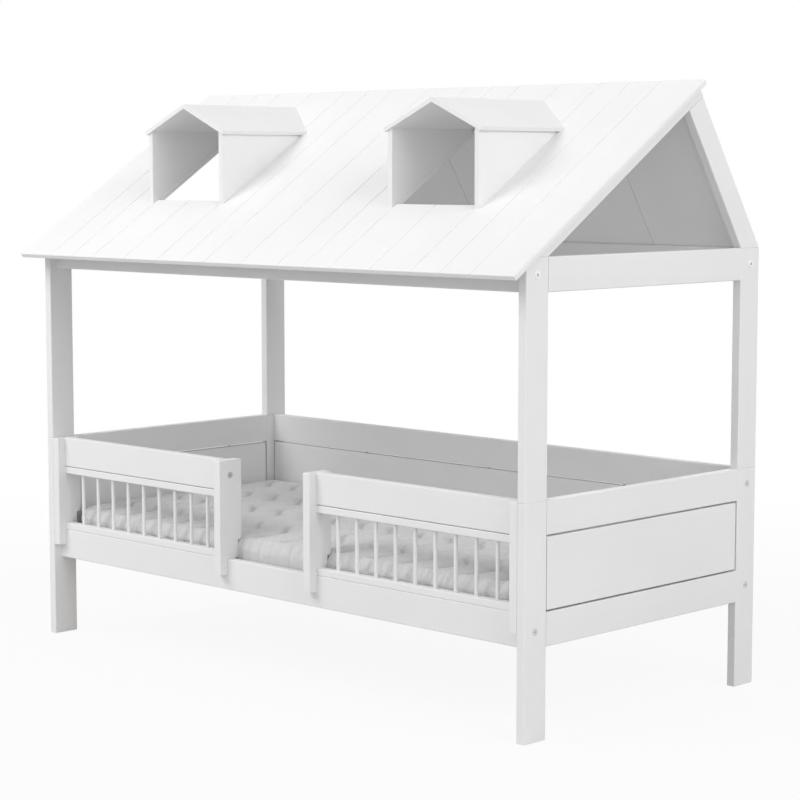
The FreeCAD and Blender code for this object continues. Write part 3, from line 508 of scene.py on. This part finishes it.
class Stitching:
    """Where the cover is sewn: wavy seams on the top, a flatter edge, and puckers in the border."""

    def __init__(self, low, high):
        self.low, self.high = np.array(low), np.array(high)
        self.middle = (self.low + self.high) / 2
        self.half = (self.high - self.low) / 2
        steps = np.linspace(-self.half[1], self.half[1], 2001)
        turn = 2 * math.pi / WAVE_LENGTH
        stretch = np.sqrt(1 + (WAVE_REACH * turn * np.cos(turn * steps)) ** 2)
        self.steps, self.run = steps, np.cumsum(stretch) * (steps[1] - steps[0])

    def waves(self, points):
        """Distance to the nearest wavy seam, and the length run along it."""
        x = points[:, 0] - self.middle[0]
        y = points[:, 1] - self.middle[1]
        turn = 2 * math.pi / WAVE_LENGTH
        rows = (x - WAVE_REACH * np.sin(turn * y)) / WAVE_PITCH
        slope = WAVE_REACH * turn * np.cos(turn * y)
        gap = np.abs(rows - np.round(rows)) * WAVE_PITCH / np.sqrt(1 + slope * slope)
        return gap, np.interp(y, self.steps, self.run) + 0.37 * np.round(rows)

    def outline(self, points):
        """How far in from the outline a point lies, and the length run round it from a side's middle."""
        x, y = np.abs(points[:, 0] - self.middle[0]), np.abs(points[:, 1] - self.middle[1])
        corner_x, corner_y = self.half[0] - CORNER, self.half[1] - CORNER
        past_x, past_y = x - corner_x, y - corner_y
        in_corner = (past_x > 0) & (past_y > 0)
        reach = np.where(in_corner, np.hypot(past_x, past_y), np.maximum(past_x, past_y))
        turn = np.arctan2(np.maximum(past_x, 0), np.maximum(past_y, 1e-6))
        on_long_side = past_y > past_x
        run = np.where(on_long_side, x, corner_x + CORNER * math.pi / 2 + np.maximum(corner_y - y, 0))
        run = np.where(in_corner, corner_x + CORNER * turn, run)
        side = 0.31 * np.sign(points[:, 0]) + 0.17 * np.sign(points[:, 1] - self.middle[1])
        return CORNER - reach, run * (1 + 0.02 * side)

    def top_share(self, points, normals):
        """1 on the top inside its edge, 0 on the border and underneath."""
        inset, _ = self.outline(points)
        share = smooth_step(inset, EDGE_SEAM - EDGE_FADE, EDGE_SEAM + EDGE_FADE)
        return share * (normals[:, 2] > 0)

    def quilting(self, points, normals):
        """How far the quilting raises a point, and how deep in a seam the point lies, from 0 to 1; the
        cover uses that depth as painted shade.
        """
        top = self.top_share(points, normals)
        inset, round_run = self.outline(points)
        height = points[:, 2] - self.low[2]
        gap, run = self.waves(points)
        groove = np.exp(-((gap / SEAM_WIDE) ** 2))
        tucks = np.sin(run * (2 * math.pi / TUCK_PITCH) + 2.5 * ripple(points, 0.09, 3))
        tucks *= np.exp(-gap / TUCK_RUN) * (0.6 + 0.4 * ripple(points, 0.11, 5))
        creases = np.maximum(ripple(points * (1.0, 2.4, 1.0), CREASE_SIZE, 11) - 0.35, 0.0)
        raised_top = PUFF * (PUFF_OVER - np.exp(-gap / PUFF_RUN))
        raised_top += TUCK_DEEP * tucks - CREASE_DEEP * creases

        cell = round_run / PUCKER_PITCH + 0.22 * ripple(points * (1, 1, 0.3), 0.16, 7)
        pucker_gap = np.abs(cell - np.round(cell)) * PUCKER_PITCH
        unequal = 0.55 + 0.45 * ripple(np.round(cell)[:, None] * (1.0, 0.7, 0.3), 1.9, 13)
        pucker = np.exp(-((pucker_gap / PUCKER_WIDE) ** 2)) * unequal
        roll = smooth_step(height, PUCKER_FROM, PUCKER_FULL)
        raised_border = BORDER_FILL - PUCKER_DRAW * np.exp(-pucker_gap / PUCKER_RUN)
        raised_border -= PUCKER_DEEP * pucker * roll
        raised_border += BORDER_LUMPS * ripple(points * (1.0, 1.0, 0.5), 0.035, 17)

        at_edge = np.exp(-(((inset - EDGE_SEAM) / EDGE_WIDE) ** 2)) * (normals[:, 2] > 0.3)
        rise = top * raised_top + (1 - top) * raised_border + LUMPS * ripple(points, 0.34, 19)
        rise = rise * (1 - EDGE_FLAT * at_edge)
        # seam and pucker depth, which the cover turns into painted shade
        sewn = np.maximum(top * groove, (1 - top) * pucker * roll * 0.7)
        return rise, np.clip(sewn, 0.0, 1.0)


def push_out_of_noses(points):
    """Keep the cover under and behind the noses of the guards' inner uprights."""
    for side in ("left", "right"):
        low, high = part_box(f"guard_inner_upright_{side}")
        seat_back = low.y + NOTCH
        inside = (points[:, 0] > low.x - TOUCH) & (points[:, 0] < high.x + TOUCH)
        inside &= points[:, 1] < high.y + TOUCH
        under = inside & (points[:, 2] > NOSE_LOW - TOUCH)
        sunk = points[:, 2] - (NOSE_LOW - TOUCH)
        behind = (high.y + TOUCH) - points[:, 1]
        down = under & (sunk < behind)
        back = under & ~(sunk < behind)
        points[down, 2] = NOSE_LOW - TOUCH
        points[back, 1] = high.y + TOUCH
        ahead = inside & (points[:, 1] < seat_back + TOUCH)
        points[ahead, 1] = seat_back + TOUCH
    return points


def held_in(points, low, high):
    """Keep the cover in the space between the rails and the end boards."""
    points[:, 0] = np.clip(points[:, 0], low[0] - END_SLACK, high[0] + END_SLACK)
    points[:, 1] = np.clip(points[:, 1], low[1] - FRONT_SLACK, high[1])
    points[:, 2] = np.maximum(points[:, 2], low[2])
    return push_out_of_noses(points)


def stuff(piece, stitching):
    """Swell the cover with pressure between its seams, as its filling does."""
    mesh = piece.data
    start, normals = corners_of(mesh), normals_of(mesh)
    gap, _ = stitching.waves(start)
    inset, _ = stitching.outline(start)
    on_top = stitching.top_share(start, normals) > 0.5
    sewn = on_top & (gap < VOXEL * PINNED_WITHIN)
    sewn |= (np.abs(inset - EDGE_SEAM) < VOXEL * PINNED_WITHIN) & (normals[:, 2] > 0)
    sewn |= normals[:, 2] < -0.5
    pinned = piece.vertex_groups.new(name="sewn")
    pinned.add(np.nonzero(sewn)[0].tolist(), 1.0, "REPLACE")
    filling = piece.modifiers.new("Filling", "CLOTH")
    settings = filling.settings
    settings.quality = 4
    settings.mass = 0.25
    settings.tension_stiffness = 12
    settings.compression_stiffness = 6
    settings.shear_stiffness = 4
    settings.bending_stiffness = 0.2
    settings.air_damping = 4
    settings.vertex_group_mass = "sewn"
    settings.shrink_min = -0.02
    settings.use_pressure = True
    settings.uniform_pressure_force = 4.0
    settings.effector_weights.gravity = 0.0
    filling.point_cache.frame_start = 1
    filling.point_cache.frame_end = STUFFING_STEPS
    for step in range(1, STUFFING_STEPS + 1):
        scene.frame_set(step)
    seen = piece.evaluated_get(bpy.context.evaluated_depsgraph_get())
    moved = corners_of(seen.data) - start
    piece.modifiers.remove(filling)
    piece.vertex_groups.remove(pinned)
    scene.frame_set(1)
    length = np.linalg.norm(moved, axis=1, keepdims=True)
    moved *= np.minimum(1.0, SWELL / np.maximum(length, 1e-9))
    put_corners(mesh, start + moved)


def made_finer(piece):
    """Divide a piece's faces once, smoothly."""
    finer = piece.modifiers.new("Finer", "SUBSURF")
    finer.levels = finer.render_levels = 1
    bpy.context.view_layer.update()
    seen = piece.evaluated_get(bpy.context.evaluated_depsgraph_get())
    mesh = bpy.data.meshes.new_from_object(seen)
    piece.modifiers.remove(finer)
    piece.data = mesh


def make_mattress():
    """The mattress: stuffed, quilted in waves, with a puckered border."""
    low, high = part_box("mattress")
    piece = bpy.data.objects.new("quilted_mattress", mattress_net())
    scene.collection.objects.link(piece)
    stitching = Stitching(low, high)
    stuff(piece, stitching)
    made_finer(piece)
    mesh = piece.data
    mesh.name = "quilted_mattress"

    points, normals = corners_of(mesh), normals_of(mesh)
    rise, sewn = stitching.quilting(points, normals)
    above = smooth_step(normals[:, 2], -0.3, 0.0)[:, None]
    points += normals * rise[:, None] * above
    put_corners(mesh, held_in(points, low, high))

    # the seam and pucker depth, kept for the cover's painted shade
    seam = mesh.attributes.new("stitching", "FLOAT", "POINT")
    seam.data.foreach_set("value", sewn.astype(np.float32))
    mesh.shade_smooth()
    mesh.materials.clear()
    mesh.materials.append(quilted_cover())
    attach(piece, "root")
    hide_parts("mattress")
    return piece


# ---------------------------------------------------------------- studio

FLOOR_RADIUS = 40.0
FLOOR_DROP = 0.0008         # the floor under the feet, so that no faces share a plane
FLOOR_FADE_FROM, FLOOR_FADE_TO = 1.2, 4.5       # from the middle, where the floor turns white
FLOOR_WHITENESS = 0.92      # share of plain white in the floor next to the bed
SKY_EVEN = 0.38             # light from every side
SKY_EXTRA = 0.75            # the most that the bright side adds
SKY_SIDE = (0.7071, -0.7071, 0.0)
LAMP_SIZE = 4.0
LAMP_DISTANCE = 7.0
LIT_POINT = Vector((0.0, 0.0, 0.9))
SOFT_LAMPS = [
    # name, azimuth and elevation in degrees, power in watts
    ("left_of_front", -30.0, 40.0, 250.0),
    ("right_end", 85.0, 30.0, 160.0),
    ("behind", 195.0, 10.0, 120.0),
]
PICTURE_WIDE = 36.0         # mm, which the focal length goes with
FOCAL_LENGTH = 100.09       # mm
CAMERA_PLACE = Vector((4.83353, -4.85772, 1.52519))     # from the floor in the middle of the posts
CAMERA_TILT = 84.0076       # degrees, where 90 looks level
CAMERA_TURN = 44.4241       # degrees


def make_floor():
    """A pale floor that fades to plain white, and keeps the bed's soft shadow."""
    net = bpy.data.meshes.new("studio_floor")
    shape = bmesh.new()
    bmesh.ops.create_circle(shape, cap_ends=True, radius=FLOOR_RADIUS, segments=64)
    shape.to_mesh(net)
    shape.free()
    floor = bpy.data.objects.new("studio_floor", net)
    floor.location.z = -FLOOR_DROP
    scene.collection.objects.link(floor)

    material = bpy.data.materials.new("studio_floor")
    material.use_nodes = True
    tree = material.node_tree
    tree.nodes.clear()
    position = tree.nodes.new("ShaderNodeTexCoord").outputs["Object"]
    grain = noise(tree, position, 60.0, detail=3.0)
    light_paint, deep_paint = (0.62, 0.62, 0.62, 1), (0.60, 0.60, 0.60, 1)
    paint = blended(tree, spread(tree, grain, 0.3, 0.7, 0.0, 1.0), light_paint, deep_paint)
    painted = wired(tree, "ShaderNodeBsdfDiffuse", {"Color": paint}).outputs[0]
    white = wired(tree, "ShaderNodeEmission", {"Color": (1, 1, 1, 1), "Strength": 1.0}).outputs[0]
    paths = tree.nodes.new("ShaderNodeLightPath").outputs
    seen = reckon(tree, "MAXIMUM", paths["Is Camera Ray"], paths["Is Glossy Ray"])
    seen = reckon(tree, "MAXIMUM", seen, paths["Is Transmission Ray"])
    away = wired(tree, "ShaderNodeVectorMath", {0: position}, operation="LENGTH").outputs["Value"]
    whiteness = spread(tree, away, FLOOR_FADE_FROM, FLOOR_FADE_TO, FLOOR_WHITENESS, 1.0)
    share = reckon(tree, "MULTIPLY", seen, whiteness)
    mixed = tree.nodes.new("ShaderNodeMixShader")
    tree.links.new(share, mixed.inputs[0])
    tree.links.new(painted, mixed.inputs[1])
    tree.links.new(white, mixed.inputs[2])
    out = tree.nodes.new("ShaderNodeOutputMaterial")
    tree.links.new(mixed.outputs[0], out.inputs["Surface"])
    net.materials.append(material)


def make_world():
    """Even light all round, stronger from the camera's side, seen as plain white."""
    world = bpy.data.worlds.new("studio")
    scene.world = world
    world.use_nodes = True
    tree = world.node_tree
    tree.nodes.clear()
    direction = tree.nodes.new("ShaderNodeTexCoord").outputs["Generated"]
    towards = {0: direction, 1: SKY_SIDE}
    facing = wired(tree, "ShaderNodeVectorMath", towards, operation="DOT_PRODUCT").outputs["Value"]
    facing = reckon(tree, "MAXIMUM", facing, 0.0)
    glow = reckon(tree, "MULTIPLY_ADD", facing, SKY_EXTRA, SKY_EVEN)
    light = wired(tree, "ShaderNodeBackground", {"Color": (1, 1, 1, 1), "Strength": glow}).outputs[0]
    white = wired(tree, "ShaderNodeBackground", {"Color": (1, 1, 1, 1), "Strength": 1.0}).outputs[0]
    paths = tree.nodes.new("ShaderNodeLightPath").outputs
    seen = reckon(tree, "MAXIMUM", paths["Is Camera Ray"], paths["Is Glossy Ray"])
    seen = reckon(tree, "MAXIMUM", seen, paths["Is Transmission Ray"])
    mixed = tree.nodes.new("ShaderNodeMixShader")
    tree.links.new(seen, mixed.inputs[0])
    tree.links.new(light, mixed.inputs[1])
    tree.links.new(white, mixed.inputs[2])
    out = tree.nodes.new("ShaderNodeOutputWorld")
    tree.links.new(mixed.outputs[0], out.inputs["Surface"])


def soft_lamp(name, azimuth, elevation, power):
    """A large square lamp that faces the bed. Azimuth 0 is in front of it, and 90 at its right end."""
    turn, rise = math.radians(azimuth), math.radians(elevation)
    away = Vector((math.sin(turn) * math.cos(rise), -math.cos(turn) * math.cos(rise), math.sin(rise)))
    lamp = bpy.data.lights.new(name, "AREA")
    lamp.shape = "SQUARE"
    lamp.size = LAMP_SIZE
    lamp.energy = power
    holder = bpy.data.objects.new(name, lamp)
    holder.location = LIT_POINT + LAMP_DISTANCE * away
    holder.rotation_euler = (-away).to_track_quat("-Z", "Y").to_euler()
    scene.collection.objects.link(holder)


def make_camera():
    """The camera, at the photograph's place and angle."""
    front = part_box("lower_post_front_left")[0].y
    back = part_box("lower_post_back_left")[1].y
    lens = bpy.data.cameras.new("camera")
    lens.sensor_fit = "HORIZONTAL"
    lens.sensor_width = PICTURE_WIDE
    lens.lens = FOCAL_LENGTH
    camera = bpy.data.objects.new("camera", lens)
    camera.location = CAMERA_PLACE + Vector((0.0, (front + back) / 2, 0.0))
    camera.rotation_euler = (math.radians(CAMERA_TILT), 0.0, math.radians(CAMERA_TURN))
    scene.collection.objects.link(camera)
    scene.camera = camera


finish_timber()
make_mattress()
make_floor()
make_world()
for lamp_name, azimuth, elevation, power in SOFT_LAMPS:
    soft_lamp(lamp_name, azimuth, elevation, power)
make_camera()
scene.view_settings.view_transform = "Standard"
